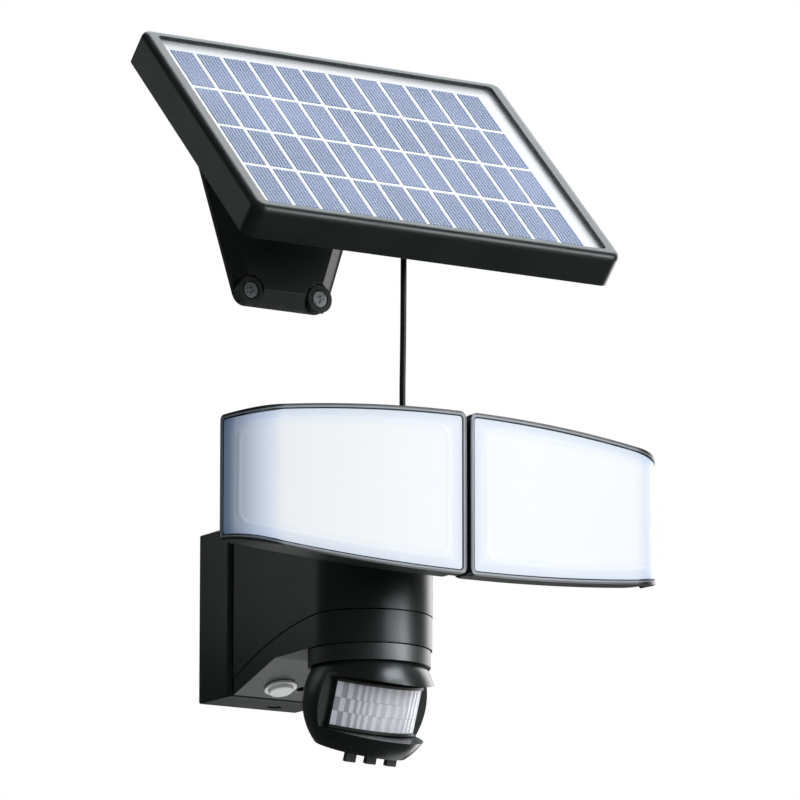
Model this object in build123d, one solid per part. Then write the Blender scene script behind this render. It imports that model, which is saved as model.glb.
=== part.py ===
from build123d import *

"""Wall-mounted solar flood light: twin lamp heads, motion sensor, and a separate solar panel.

Millimetres, +Z up.  X runs along the wall, the wall is the plane Y = 0 and the light stands
out towards -Y.  The origin is at the bottom centre of the lamp's back, on the wall.
"""
import math
import os

# ---------------------------------------------------------------- driving dimensions
# back box on the wall
BOX_W = 64.0
BOX_H = 96.0
BOX_D = 32.5
BOX_WALL = 2.5
BOX_EDGE_R = 3.0
ENTRY_R = 4.2                    # round hole in the bottom of the back box
ENTRY_X = 10.0
ENTRY_Y = -12.0
WALL_HOLE_R = 2.4
WALL_HOLE_SPACING = 60.0

# arm: upper and lower housing
GROOVE = 3.0                     # shadow groove between the back box and the arm
ARM_HALF_W = 31.0
COL_Y = -128.8                   # axis of the round column
COL_R = 34.8
ARM_TOP = 96.0
WALL = 2.5
SEAM_Z = 33.0
SEAM_R = 265.0                   # the seam line sweeps down towards the wall
SEAM_TANGENT_Y = -145.0
SEAM_GAP = 0.5
UNDER_Z = 14.8                   # flat underside of the column
UNDER_LOW_Z = 0.6
UNDER_BACK_Y = -36.0
UNDER_FRONT_Y = -83.0

# push button on the sloping underside
BUTTON_X = -9.1
BUTTON_Y = -50.2
BUTTON_R = 7.0
BUTTON_DISH_R = 9.1
CASE_SCREW_X = 4.8

# motion sensor
BALL_R = 36.6
BALL_Z = -13.5
BALL_WALL = 2.4
BALL_PAN = 5.0                   # the ball looks a little to the right
BALL_TILT = 19.0                 # nose-down angle as built
COLLAR_R = 33.7
COLLAR_BOTTOM = 5.3
NOTCH_DEPTH = 3.2                # cheek plane, forward of the ball's middle
BALL_FLAT = 26.5                 # flat underside of the ball, below its middle
LENS_HALF_W = 28.6
LENS_ENDS = 6.6
LENS_BULGE_R = 52.0
LENS_LOW = -13.2
LENS_HIGH = 11.0
NOTCH_TOP = 16.4                 # roof and floor of the recess where they leave the ball
NOTCH_FLOOR = -15.6
CHEEK_TOP = 15.2                 # roof and floor where they meet the cheeks
CHEEK_FLOOR = -15.1
LEDGE_T = 1.6                    # ledges of the lens holder above and below the lens
LEDGE_OUT = 0.8
KNOB_PITCH = 13.8
KNOB_FORWARD = 11.0
KNOB_W = 6.5
KNOB_T = 3.0
KNOB_END = 31.9

# lamp heads
HEAD_FRONT_Y = -229.6
HEAD_R = 1285.0                  # plan radius of the broad, nearly flat front
HEAD_SWEEP = 5.05                # degrees of broad curve on each side
HEAD_END_R = 26.3                # plan radius of the end, which wraps back a quarter turn
HEAD_GAP = 1.2                   # half the gap between the heads
HEAD_TOP = 131.7
HEAD_BOTTOM = 42.4
TOP_FALL = 6.8                   # fall of the top edge where the end curve starts
TOP_END_FALL = 11.8              # and at the end of the wrapped lens
LOW_RISE = 6.1
LOW_END_RISE = 11.0
HEAD_CORNER_R = 4.5
END_CORNER_R = 3.0
HEAD_BACK_Y = -207.0             # back of the housing at the middle
HEAD_BACK_END = (128.0, -195.2)
BEZEL_DEPTH = 6.0
BEZEL_LIP = 2.2
HEAD_WALL = 2.2
TILT_Y = -181.0                  # horizontal axis of the head carrier
TILT_Z = 87.0
SWING_X = 10.0                   # vertical hinge pins of the heads
SWING_Y = -199.0

# solar panel and its wall bracket
PANEL_X = 19.0
PANEL_Y = -111.6
PANEL_Z = 307.7
PANEL_TILT = 45.0
PANEL_W = 240.0
PANEL_L = 181.0
PANEL_T = 20.3
PANEL_LIP = 6.5                  # width of the rim at the top and bottom
PANEL_SIDE_LIP = 8.5
PANEL_EDGE_R = 4.0               # rounding of the rim's outer edge
PANEL_CORNER_R = 7.0
GLASS_DEPTH = 1.4
GLASS_T = 2.2
CELL_COLS = 12
CELL_ROWS = 4
CELL_PITCH_X = 17.37
CELL_PITCH_Y = 39.1
CELL_GAP_X = 2.8
CELL_GAP_Y = 3.3
CELL_T = 0.4
CELLS_LEFT = -104.85
CELLS_TOP = 76.1
HINGE_Y = -78.0
HINGE_Z = 277.0
BRACKET_TOP = 336.0
BRACKET_HALF_BOTTOM = 31.6       # half width at the height of the lower screws
BRACKET_FLARE = 0.317            # widening on each side per millimetre of height
BRACKET_BASE = 3.0
BRACKET_FACE = 8.0
BRACKET_SLOPE = 9.5              # how far the raised face stands in from the outline
BOSS_R = 8.0
SCREW_SEAT_R = 5.2
SCREW_Z = 239.5
SCREW_HALF = 23.1
UPPER_SCREW_Z = 304.0
UPPER_SCREW_HALF = 41.5

# cable between the panel and the lamp: points of its route, first at the lamp
CABLE_D = 3.5
CABLE_POINTS = [(19.0, -134.0, 104.0), (18.3, -133.4, 149.0), (18.7, -134.3, 197.0),
                (19.1, -133.9, 240.5)]


# ---------------------------------------------------------------- helpers
def block(x0, x1, y0, y1, z0, z1):
    """Axis-aligned box from its limits."""
    return Pos((x0 + x1) / 2, (y0 + y1) / 2, (z0 + z1) / 2) * Box(x1 - x0, y1 - y0, z1 - z0)


def rod(radius, start, direction, length):
    """Cylinder from a start point along a direction."""
    return Solid.make_cylinder(radius, length, Plane(origin=start, z_dir=direction))


def tube(outer, inner, start, direction, length):
    """Hollow cylinder."""
    d = Vector(*direction).normalized()
    s = Vector(*start) - d * 1.0
    return rod(outer, start, direction, length) - rod(inner, tuple(s), direction, length + 2.0)


def prism(points, plane, depth):
    """Polygon in a plane, extruded along its normal."""
    return extrude(plane * make_face(Polyline(*points, close=True)), depth)


def group(parts):
    """Several separate solids kept in one node."""
    solids = []
    for p in parts:
        solids.extend(p.solids())
    return Compound(children=solids)


def mirror_x(shape):
    return mirror(shape, Plane.YZ)


os.makedirs("parts", exist_ok=True)


def save(name, shape):
    solids = shape.solids()
    out = solids[0] if len(solids) == 1 else Compound(children=list(solids))
    export_step(out, f"parts/{name}.step")


def machine_screw(head_r, head_t, shank_r, length, at, direction):
    """Screw whose head's outer face is at a point and whose shank runs along a direction."""
    d = Vector(*direction).normalized()
    head = rod(head_r, at, direction, head_t)
    shank = rod(shank_r, tuple(Vector(*at) + d * head_t), direction, length)
    return head + shank - cross_recess(head_r, at, d)


def cross_recess(head_r, at, d):
    """Cross slot sunk into a screw head."""
    side = Vector(1, 0, 0) if abs(d.X) < 0.9 else Vector(0, 1, 0)
    plane = Plane(origin=at, x_dir=tuple(side), z_dir=tuple(d))
    arm = head_r * 0.95
    slot = Box(arm, head_r * 0.2, 1.8) + Box(head_r * 0.2, arm, 1.8)
    return plane * slot


# ---------------------------------------------------------------- back box on the wall
def back_box():
    outer = block(-BOX_W / 2, BOX_W / 2, -BOX_D, 0, 0, BOX_H)
    upright = outer.edges().filter_by(Axis.Z).group_by(Axis.Y)[0]
    outer = fillet(upright, BOX_EDGE_R)
    rim = outer.faces().sort_by(Axis.Y)[0].edges()
    outer = fillet(rim, 1.2)
    inner = block(-BOX_W / 2 + BOX_WALL, BOX_W / 2 - BOX_WALL, -BOX_D + BOX_WALL, 1,
                  BOX_WALL, BOX_H - BOX_WALL)
    passage = rod(11.0, (0, -BOX_D - 1, 52), (0, 1, 0), BOX_WALL + 2)
    entry = rod(ENTRY_R, (ENTRY_X, ENTRY_Y, -1), (0, 0, 1), BOX_WALL + 2)
    body = outer - inner - passage - entry
    for z in (20, 78):
        body -= rod(1.7, (0, -BOX_D - 1, z), (0, 1, 0), BOX_WALL + 2)
    return body


def mounting_plate():
    """Plate that is screwed to the wall first; the back box slides over it."""
    half_w = BOX_W / 2 - BOX_WALL - 0.4
    plate = block(-half_w, half_w, -3, 0, BOX_WALL + 0.4, BOX_H - BOX_WALL - 0.4)
    for k in (-1, 1):
        z = BOX_H / 2 + k * WALL_HOLE_SPACING / 2
        plate -= rod(WALL_HOLE_R, (0, 1, z), (0, -1, 0), 5)
    tab = block(ENTRY_X - 5, ENTRY_X + 5, -18, -3, BOX_WALL + 0.4, BOX_WALL + 3.4)
    return plate + tab - rod(1.25, (ENTRY_X, ENTRY_Y, 0), (0, 0, 1), 12)


def locking_screw():
    """Grub-headed screw that locks the back box to its plate, inside the bottom hole."""
    return machine_screw(3.0, 2.0, 1.2, 6.0, (ENTRY_X, ENTRY_Y, 0.7), (0, 0, 1))


save("mounting_plate", mounting_plate())
save("back_box", back_box())
save("box_locking_screw", locking_screw())


# ---------------------------------------------------------------- arm housings
def arm_plan(inset):
    """Plan of the arm: straight sides tangent to the round column, all moved in by inset."""
    r = COL_R - inset
    w = ARM_HALF_W - inset
    back = -BOX_D - GROOVE + (0 if inset == 0 else -inset)
    run = abs(COL_Y - back)
    lean = math.atan2(COL_R - ARM_HALF_W, run)
    tx = r * math.cos(lean)
    ty = COL_Y + r * math.sin(lean)
    front = (0, COL_Y - r)
    outline = [
        Line((-w, back), (w, back)),
        Line((w, back), (tx, ty)),
        ThreePointArc((tx, ty), front, (-tx, ty)),
        Line((-tx, ty), (-w, back)),
    ]
    return make_face(Curve() + outline)


def arm_block(inset, z0, z1):
    return Pos(0, 0, z0) * extrude(arm_plan(inset), z1 - z0)


def seam_profile(lift):
    """Side profile of everything above the seam line, raised by lift."""
    centre_z = SEAM_Z + lift - SEAM_R
    back_y = -BOX_D + 1
    back_z = centre_z + math.sqrt(SEAM_R ** 2 - (back_y - SEAM_TANGENT_Y) ** 2)
    mid_y = (back_y + SEAM_TANGENT_Y) / 2
    mid_z = centre_z + math.sqrt(SEAM_R ** 2 - (mid_y - SEAM_TANGENT_Y) ** 2)
    front_y = COL_Y - COL_R - 5
    top = ARM_TOP + 20
    sketch = [
        ThreePointArc((back_y, back_z), (mid_y, mid_z), (SEAM_TANGENT_Y, SEAM_Z + lift)),
        Line((SEAM_TANGENT_Y, SEAM_Z + lift), (front_y, SEAM_Z + lift)),
        Line((front_y, SEAM_Z + lift), (front_y, top)),
        Line((front_y, top), (back_y, top)),
        Line((back_y, top), (back_y, back_z)),
    ]
    return make_face(Curve() + sketch)


def above_seam(lift):
    plane = Plane(origin=(-60, 0, 0), x_dir=(0, 1, 0), z_dir=(1, 0, 0))
    return extrude(plane * seam_profile(lift), 120)


def underside_cut(raise_by):
    """Everything below the sloping and flat underside."""
    low = -30
    slope = (UNDER_Z - UNDER_LOW_Z) / (UNDER_BACK_Y - UNDER_FRONT_Y)
    back_y = -BOX_D + 2
    back_z = UNDER_LOW_Z + slope * (UNDER_BACK_Y - back_y) + raise_by
    points = [(back_y, back_z), (UNDER_FRONT_Y, UNDER_Z + raise_by),
              (COL_Y - COL_R - 5, UNDER_Z + raise_by), (COL_Y - COL_R - 5, low), (back_y, low)]
    plane = Plane(origin=(-60, 0, 0), x_dir=(0, 1, 0), z_dir=(1, 0, 0))
    return prism(points, plane, 120)


SLOPE_ANGLE = math.atan2(UNDER_Z - UNDER_LOW_Z, UNDER_BACK_Y - UNDER_FRONT_Y)
SLOPE_OUT = (0, -math.sin(SLOPE_ANGLE), -math.cos(SLOPE_ANGLE))
SLOPE_IN = tuple(-v for v in SLOPE_OUT)


def slope_point(x, y, below=0.0):
    """Point on the sloping underside, moved out of it by below."""
    slope = (UNDER_Z - UNDER_LOW_Z) / (UNDER_BACK_Y - UNDER_FRONT_Y)
    z = UNDER_LOW_Z + slope * (UNDER_BACK_Y - y)
    n = Vector(*SLOPE_OUT)
    return tuple(Vector(x, y, z) + n * below)


GLAND_XY = (CABLE_POINTS[0][0], CABLE_POINTS[0][1])
CASE_SCREWS = [(CASE_SCREW_X, BUTTON_Y + 0.3), (21.0, -66.0)]
YOKE_SCREWS = [(x, z) for z in (TILT_Z - 14, TILT_Z + 3) for x in (-6.5, 6.5)]


def upper_housing():
    shell = arm_block(0, -5, ARM_TOP) & above_seam(SEAM_GAP / 2)
    crown = shell.faces().sort_by(Axis.Z)[-1].edges()
    shell = fillet(crown, 2.0)
    hollow = arm_block(WALL, -6, ARM_TOP - WALL)
    neck = block(-27, 27, -BOX_D - GROOVE - 1, -BOX_D, 24, ARM_TOP - 7)
    shell = shell - hollow + neck
    shell -= rod(11.0, (0, -BOX_D + 1, 52), (0, -1, 0), 12)
    for z in (20, 78):
        shell -= rod(1.25, (0, -BOX_D + 1, z), (0, -1, 0), 12)
    shell -= rod(4.0, (GLAND_XY[0], GLAND_XY[1], ARM_TOP - 6), (0, 0, 1), 10)
    for x, z in YOKE_SCREWS:
        shell -= rod(1.25, (x, COL_Y - COL_R - 3, z), (0, 1, 0), 9)
    return shell


def lower_housing():
    tray = arm_block(0.25, -5, SEAM_Z + 5) - above_seam(-SEAM_GAP / 2) - underside_cut(0)
    hollow = arm_block(WALL + 0.25, -5, SEAM_Z + 6) - underside_cut(WALL)
    tray = tray - hollow
    tray -= rod(27.0, (0, COL_Y, UNDER_Z - 3), (0, 0, 1), 8)
    tray -= rod(BUTTON_DISH_R - 1.5, slope_point(BUTTON_X, BUTTON_Y, 3), SLOPE_IN, 8)
    for x, y in CASE_SCREWS:
        tray += rod(4.0, slope_point(x, y, -0.8), SLOPE_IN, 7) - above_seam(-SEAM_GAP / 2)
        tray -= rod(1.6, slope_point(x, y, 3), SLOPE_IN, 16)
        tray -= rod(2.7, slope_point(x, y, 1), SLOPE_IN, 5.0)
    return tray


def housing_screws():
    """Alike self-tapping screws: the lower housing's, the arm's and the head yoke's."""
    screws = [machine_screw(2.5, 1.6, 1.2, 9.0, slope_point(x, y, -2.2), SLOPE_IN)
              for x, y in CASE_SCREWS]
    for z in (20, 78):
        screws.append(machine_screw(2.5, 1.6, 1.2, 6.5, (0, -BOX_D + BOX_WALL + 1.6, z), (0, -1, 0)))
    for x, z in YOKE_SCREWS:
        screws.append(machine_screw(2.5, 1.6, 1.2, 9.0, (x, COL_Y - COL_R - 6.6, z), (0, 1, 0)))
    return group(screws)


save("upper_housing", upper_housing())
save("lower_housing", lower_housing())
save("housing_screws", housing_screws())


# ---------------------------------------------------------------- battery and electronics
CELL_R = 9.2
TRAY_TOP = 51.6
CELL_Z = TRAY_TOP + CELL_R + 0.05


def battery_cells():
    """Three round cells side by side, along the arm."""
    cells = []
    for k in (-1, 0, 1):
        can = rod(CELL_R, (k * 18.6, -45, CELL_Z), (0, -1, 0), 65.2)
        button = rod(2.8, (k * 18.6, -110.2, CELL_Z), (0, -1, 0), 1.2)
        cells.append(can + button)
    return group(cells)


def battery_tray():
    """Saddle under the cells with an end wall at each end."""
    base = block(-28.0, 28.0, -113, -43, TRAY_TOP - 2, TRAY_TOP)
    body = base
    for y in (-113.0, -43.0):
        body += block(-28.0, 28.0, y, y + 1.4, TRAY_TOP - 2, 66)
    for x in (-28.0, 26.5):
        body += block(x, x + 1.5, -113, -41.6, 34, TRAY_TOP - 2)
    return body


def control_board():
    board = block(-26.0, 26.0, -100, -50, 36, 37.6)
    chips = block(-8, 4, -82, -70, 37.6, 39.6) + block(10, 20, -95, -88, 37.6, 44)
    return board + chips


save("battery_cells", battery_cells())
save("battery_tray", battery_tray())
save("control_board", control_board())


# ---------------------------------------------------------------- push button
def button_dish():
    """Shallow white dish round the button."""
    outer = rod(BUTTON_DISH_R, slope_point(BUTTON_X, BUTTON_Y, 1.2), SLOPE_IN, 1.2)
    sleeve = rod(BUTTON_DISH_R - 1.8, slope_point(BUTTON_X, BUTTON_Y, 0.1), SLOPE_IN, 5.0)
    bore = rod(BUTTON_R + 0.1, slope_point(BUTTON_X, BUTTON_Y, 4), SLOPE_IN, 16)
    return outer + sleeve - bore


def push_button():
    cap = rod(BUTTON_R, slope_point(BUTTON_X, BUTTON_Y, 3.4), SLOPE_IN, 5.4)
    cap = fillet(cap.faces().sort_by(Axis.Z)[0].edges(), 1.0)
    return cap + rod(1.5, slope_point(BUTTON_X, BUTTON_Y, -1.9), SLOPE_IN, 5.0)


def button_spring():
    """Return spring, drawn as the sleeve that it fills."""
    return tube(3.2, 2.2, slope_point(BUTTON_X, BUTTON_Y, -2.1), SLOPE_IN, 6.4)


def button_switch():
    base = slope_point(BUTTON_X, BUTTON_Y, -8.6)
    plane = Plane(origin=base, x_dir=(1, 0, 0), z_dir=SLOPE_IN)
    return plane * Pos(0, 0, 1.6) * Box(12, 12, 3.2)


save("button_dish", button_dish())
save("push_button", push_button())
save("button_spring", button_spring())
save("button_switch", button_switch())


# ---------------------------------------------------------------- motion sensor
PAN = math.radians(BALL_PAN)
LEAN = math.radians(BALL_TILT)
BALL = Plane(origin=(0, COL_Y, BALL_Z), x_dir=(math.cos(PAN), math.sin(PAN), 0),
             z_dir=(math.sin(LEAN) * math.sin(PAN), -math.sin(LEAN) * math.cos(PAN), math.cos(LEAN)))
# In the ball's own frame X is sideways, -Y is the way it looks and Z is its own up.


def sensor_collar():
    """Turning ring with a spherical seat, a neck through the arm and a bridge on top."""
    ring = rod(COLLAR_R, (0, COL_Y, COLLAR_BOTTOM), (0, 0, 1), UNDER_Z - 0.4 - COLLAR_BOTTOM)
    neck = rod(26.9 - 0.3, (0, COL_Y, UNDER_Z - 1), (0, 0, 1), 14.8)
    seat = Pos(0, COL_Y, BALL_Z) * Sphere(BALL_R + 0.25)
    bore = rod(24.2, (0, COL_Y, UNDER_Z - 1), (0, 0, 1), 20)
    bridge = block(-25, 25, COL_Y - 7, COL_Y + 7, 24.4, 27.0)
    body = ring + neck - seat - bore + bridge
    return body - rod(4.6, (0, COL_Y, 15), (0, 0, 1), 20)


def collar_clip():
    """Clip ring that holds the collar up in the arm."""
    z = UNDER_Z + WALL + 0.3
    ring = tube(30.0, 26.65, (0, COL_Y, z), (0, 0, 1), 1.8)
    return ring - block(-5, 5, COL_Y, COL_Y + 40, z - 1, z + 3)


def swivel_stem():
    """Hollow stem under the bridge with a saddle that grips the ball from inside."""
    stem = rod(4.5, (0, COL_Y, 16.2), (0, 0, 1), 13.0)
    flange = rod(7.0, (0, COL_Y, 27.1), (0, 0, 1), 2.1)
    cap = Pos(0, COL_Y, BALL_Z) * (Sphere(BALL_R - BALL_WALL - 0.25) - Sphere(BALL_R - 5.2))
    saddle = cap & rod(10.0, (0, COL_Y, 10), (0, 0, 1), 20)
    return stem + flange + saddle - rod(2.6, (0, COL_Y, 0), (0, 0, 1), 40)


def notch_walls(grow):
    """Wide window recess of the front shell, with its roof and floor opening forwards."""
    back = -NOTCH_DEPTH + grow
    front = -BALL_R - 6
    mouth = -33.0
    rise = (NOTCH_TOP - CHEEK_TOP) / (-NOTCH_DEPTH - mouth)
    fall = (CHEEK_FLOOR - NOTCH_FLOOR) / (-NOTCH_DEPTH - mouth)
    points = [
        (back, CHEEK_TOP + grow),
        (front, NOTCH_TOP + grow + rise * (mouth - front)),
        (front, NOTCH_FLOOR - grow - fall * (mouth - front)),
        (back, CHEEK_FLOOR - grow),
    ]
    plane = Plane(origin=(-50, 0, 0), x_dir=(0, 1, 0), z_dir=(1, 0, 0))
    return prism(points, plane, 100)


def ball_slot():
    """Slot through the crown that lets the ball tilt about its stem, in the ball's frame."""
    cuts = []
    steps = 7
    for k in range(steps):
        lean = math.radians(-3 + 46 * k / (steps - 1))
        cuts.append(rod(5.2, (0, 0, 0), (0, math.sin(lean), math.cos(lean)), BALL_R + 2))
    slot = cuts[0]
    for c in cuts[1:]:
        slot = slot + c
    return slot & block(-6, 6, -20, 45, 18, 45)


def half_ball(forward):
    """Shell of one half of the ball, closed by the flat underside."""
    near, far = (-60, -0.2) if forward else (0.2, 60)
    half = block(-60, 60, near, far, -BALL_FLAT, 60)
    skin = Sphere(BALL_R) & half
    core = Sphere(BALL_R - BALL_WALL) & block(-60, 60, -60, 60, -BALL_FLAT + BALL_WALL, 60)
    if forward:
        core = core - notch_walls(BALL_WALL)
        skin = skin - notch_walls(0)
    return skin - core - ball_slot()


def knob_positions():
    return [-KNOB_PITCH, 0.0, KNOB_PITCH]


def lens_sheet(front_r, back_r, half_w, low, high):
    """Sheet bulging forwards between two plan radii, cut to a width and height."""
    sagitta = LENS_BULGE_R - math.sqrt(LENS_BULGE_R ** 2 - LENS_HALF_W ** 2)
    centre_y = -LENS_ENDS - sagitta + LENS_BULGE_R
    body = rod(front_r, (0, centre_y, low), (0, 0, 1), high - low)
    if back_r:
        body = body - rod(back_r, (0, centre_y, low - 1), (0, 0, 1), high - low + 2)
    return body & block(-half_w, half_w, -40, -NOTCH_DEPTH - 0.05, low, high)


def lens_window():
    return block(-LENS_HALF_W + 2.5, LENS_HALF_W - 2.5, -40, 0, LENS_LOW + 2.2, LENS_HIGH - 2.2)


def sensor_front_shell():
    """Hood, chin and cheeks of the ball."""
    shell = half_ball(True) - lens_window()
    for x in knob_positions():
        shell -= rod(5.0, (x, -KNOB_FORWARD, -BALL_FLAT - 1), (0, 0, 1), 5)
    return BALL * shell


def sensor_rear_shell():
    return BALL * half_ball(False)


def lens_holder():
    """Dark frame that carries the lens in front of the cheek plane."""
    frame = lens_sheet(LENS_BULGE_R - 1.3, 0, LENS_HALF_W, LENS_LOW - 0.2, LENS_HIGH + 0.2)
    wide = LENS_HALF_W + LEDGE_OUT
    ledge_r = LENS_BULGE_R + LEDGE_OUT
    upper = lens_sheet(ledge_r, 0, wide, LENS_HIGH + 0.1, LENS_HIGH + LEDGE_T)
    lower = lens_sheet(ledge_r, 0, wide, LENS_LOW - LEDGE_T, LENS_LOW - 0.1)
    return BALL * (frame + upper + lower - lens_window())


def pir_lens():
    return BALL * lens_sheet(LENS_BULGE_R, LENS_BULGE_R - 1.2, LENS_HALF_W, LENS_LOW, LENS_HIGH)


def sensor_board():
    """Board behind the lens with the detector's seat and the three adjusters' bodies."""
    board = block(-24, 24, 1.4, 3.0, -13, 9)
    for x in knob_positions():
        board += block(x - 4.0, x + 4.0, -KNOB_FORWARD - 4, -KNOB_FORWARD + 4, -23.6, -18.4)
    return BALL * group([board])


def detector():
    """Round metal detector can that looks out through the lens."""
    can = rod(4.6, (0, 1.3, -1.5), (0, -1, 0), 4.2)
    return BALL * (can + rod(5.2, (0, 1.35, -1.5), (0, -1, 0), 0.6))


def adjust_knob(x):
    """Flat lever under the ball on a round stem."""
    y = -KNOB_FORWARD
    lever = block(x - KNOB_W / 2, x + KNOB_W / 2, y - KNOB_T / 2, y + KNOB_T / 2, -KNOB_END, -25.0)
    disc = rod(4.6, (x, y, -BALL_FLAT + 0.2), (0, 0, 1), 2.0)
    return BALL * (lever + disc)


save("sensor_collar", sensor_collar())
save("collar_clip", collar_clip())
save("swivel_stem", swivel_stem())
save("sensor_front_shell", sensor_front_shell())
save("sensor_rear_shell", sensor_rear_shell())
save("lens_holder", lens_holder())
save("pir_lens", pir_lens())
save("sensor_board", sensor_board())
save("detector", detector())
for knob_name, knob_x in zip(("knob_time", "knob_light", "knob_range"), knob_positions()):
    save(knob_name, adjust_knob(knob_x))


# ---------------------------------------------------------------- lamp heads
def front_curve(depth):
    """Five points of the head's front in plan, from the middle to the tip, at a depth behind it."""
    r = HEAD_R - depth
    q = HEAD_END_R - depth
    sweep = math.radians(HEAD_SWEEP)
    centre_y = HEAD_FRONT_Y + HEAD_R
    end_x = (HEAD_R - HEAD_END_R) * math.sin(sweep)
    end_y = centre_y - (HEAD_R - HEAD_END_R) * math.cos(sweep)
    points = [(r * math.sin(a), centre_y - r * math.cos(a)) for a in (0, sweep / 2, sweep)]
    for a in ((sweep + math.pi / 2) / 2, math.pi / 2):
        points.append((end_x + q * math.sin(a), end_y - q * math.cos(a)))
    return points


BEND_X = front_curve(0)[2][0]
TIP_X, TIP_Y = front_curve(0)[4]


def front_edges(a):
    return [ThreePointArc(a[0], a[1], a[2]), ThreePointArc(a[2], a[3], a[4])]


def band(near, far):
    """Upright curved slab of the head between two depths."""
    a = front_curve(near)
    b = front_curve(far)
    outline = front_edges(a) + front_edges(b)
    outline += [Line(a[4], b[4]), Line(b[0], a[0])]
    return extrude(make_face(Curve() + outline), 200)


def elevation(inset):
    """Head's outline seen from the front, moved in by inset, as a deep prism past the tip."""
    x0 = HEAD_GAP + inset
    x1 = TIP_X + 1.5
    high, low = HEAD_TOP - inset, HEAD_BOTTOM + inset
    middle = (x0 + BEND_X) / 2
    late = (BEND_X + x1) / 2
    outline = [
        ThreePointArc((x0, high), (middle, high - TOP_FALL / 4), (BEND_X, high - TOP_FALL)),
        ThreePointArc((BEND_X, high - TOP_FALL), (late, high - TOP_FALL - 1.9),
                      (x1, high - TOP_END_FALL)),
        Line((x1, high - TOP_END_FALL), (x1, low + LOW_END_RISE)),
        ThreePointArc((x1, low + LOW_END_RISE), (late, low + LOW_RISE + 1.8),
                      (BEND_X, low + LOW_RISE)),
        ThreePointArc((BEND_X, low + LOW_RISE), (middle, low + LOW_RISE / 4), (x0, low)),
        Line((x0, low), (x0, high)),
    ]
    face = make_face(Curve() + outline)
    inner_corners = face.vertices().group_by(Axis.X)[0]
    face = fillet(inner_corners, max(HEAD_CORNER_R - inset, 0.6))
    plane = Plane(origin=(0, -260, 0), x_dir=(1, 0, 0), z_dir=(0, -1, 0))
    return extrude(plane * face, -120)


def head_slab(near, far, inset):
    """Slab between two depths with the head's outline moved in, its far corners rounded."""
    limit = TIP_Y - inset
    body = band(near, far) & elevation(inset)
    if inset:
        body &= block(-5, 150, -260, limit, 0, 200)
    corners = [e for e in body.edges()
               if abs(e.center().Y - limit) < 0.01 and abs((e % 0.5).Z) < 0.5]
    return fillet(corners, max(END_CORNER_R - inset, 0.6))


def housing_plan(near, side, back_inset):
    """Plan between a front depth, the end curve at a side depth and the housing's back."""
    broad = front_curve(near)
    end = front_curve(side)
    tip_x, tip_y = HEAD_BACK_END
    back = [(0, HEAD_BACK_Y - back_inset), (68.0, -203.6 - back_inset),
            (tip_x - back_inset, tip_y - back_inset)]
    outline = [ThreePointArc(broad[0], broad[1], broad[2]), ThreePointArc(end[2], end[3], end[4])]
    if near != side:
        outline.append(Line(broad[2], end[2]))
    outline.append(Line(end[4], back[2]))
    outline.append(ThreePointArc(back[2], back[1], back[0]))
    outline.append(Line(back[0], broad[0]))
    return make_face(Curve() + outline)


HOUSING_FRONT = BEZEL_DEPTH + 0.1
HOUSING_INSET = 1.3
HOUSING_EDGE_R = 5.0


def housing_block():
    """Solid outer form of the housing, its back edges well rounded."""
    body = extrude(housing_plan(HOUSING_FRONT, HOUSING_FRONT, 0), 200) & elevation(HOUSING_INSET)
    back = [f for f in body.faces() if f.center().Y > -206 and f.area > 4000][0]
    rim = [e for e in back.edges() if abs((e % 0.5).Z) < 0.5]
    return fillet(rim, HOUSING_EDGE_R)


def head_housing():
    core = extrude(housing_plan(HOUSING_FRONT - 1.0, HOUSING_FRONT + HEAD_WALL, HEAD_WALL), 200)
    body = housing_block() - (core & elevation(HOUSING_INSET + HEAD_WALL))
    for z in (TILT_Z - 20.0, TILT_Z + 20.0):
        lug = rod(5.5, (SWING_X, SWING_Y, z - 4), (0, 0, 1), 8)
        web = block(SWING_X - 5.5, SWING_X + 5.5, HEAD_BACK_Y - 1.5, SWING_Y, z - 4, z + 4)
        body = body + (lug + web - block(-20, HEAD_GAP + 0.2, -240, -190, 0, 200))
        body -= rod(2.55, (SWING_X, SWING_Y, z - 5), (0, 0, 1), 10)
    return body


def head_bezel():
    return head_slab(0, BEZEL_DEPTH, 0) - head_slab(-1, BEZEL_DEPTH + 1, BEZEL_LIP)


def head_gasket():
    ring = head_slab(3.0, BEZEL_DEPTH, BEZEL_LIP + 0.02)
    return ring - head_slab(2.0, BEZEL_DEPTH + 1, BEZEL_LIP + 2.4)


def head_lens():
    return head_slab(0.5, 2.9, BEZEL_LIP + 0.45)


EMITTER_X = (24.0, 48.0, 72.0, 96.0)
EMITTER_Z = (68.0, 88.0, 108.0)
BOARD_END_X = 108.0


def emitter_blocks(size, depth, thick):
    """Square blocks on the curved board, one for each emitter."""
    blocks = []
    for x in EMITTER_X:
        for z in EMITTER_Z:
            t = math.asin(x / HEAD_R)
            at = (x, HEAD_FRONT_Y + HEAD_R - (HEAD_R - depth) * math.cos(t), z)
            plane = Plane(origin=at, x_dir=(math.cos(t), math.sin(t), 0),
                          z_dir=(math.sin(t), -math.cos(t), 0))
            blocks.append(plane * Pos(0, 0, thick / 2) * Box(size, size, thick))
    return blocks


def head_reflector():
    """White tray behind the lens, with a window for each emitter."""
    floor = band(8.0, 9.0) & elevation(5.5)
    wall = band(6.2, 9.0) & (elevation(4.5) - elevation(5.5))
    body = (floor + wall) & block(0, BOARD_END_X, -240, -190, 0, 200)
    for window in emitter_blocks(6.0, 10.0, 4.0):
        body -= window
    return body


def led_board():
    """Curved board with rows of square emitters."""
    board = band(9.4, 10.6) & elevation(8.0) & block(8, BOARD_END_X, -240, -190, 0, 200)
    return group([board] + emitter_blocks(5.0, 9.35, 1.6))


HEAD_SCREWS = ((24.0, 54.0), (24.0, 119.0), (104.0, 58.0), (104.0, 115.0))


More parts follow.
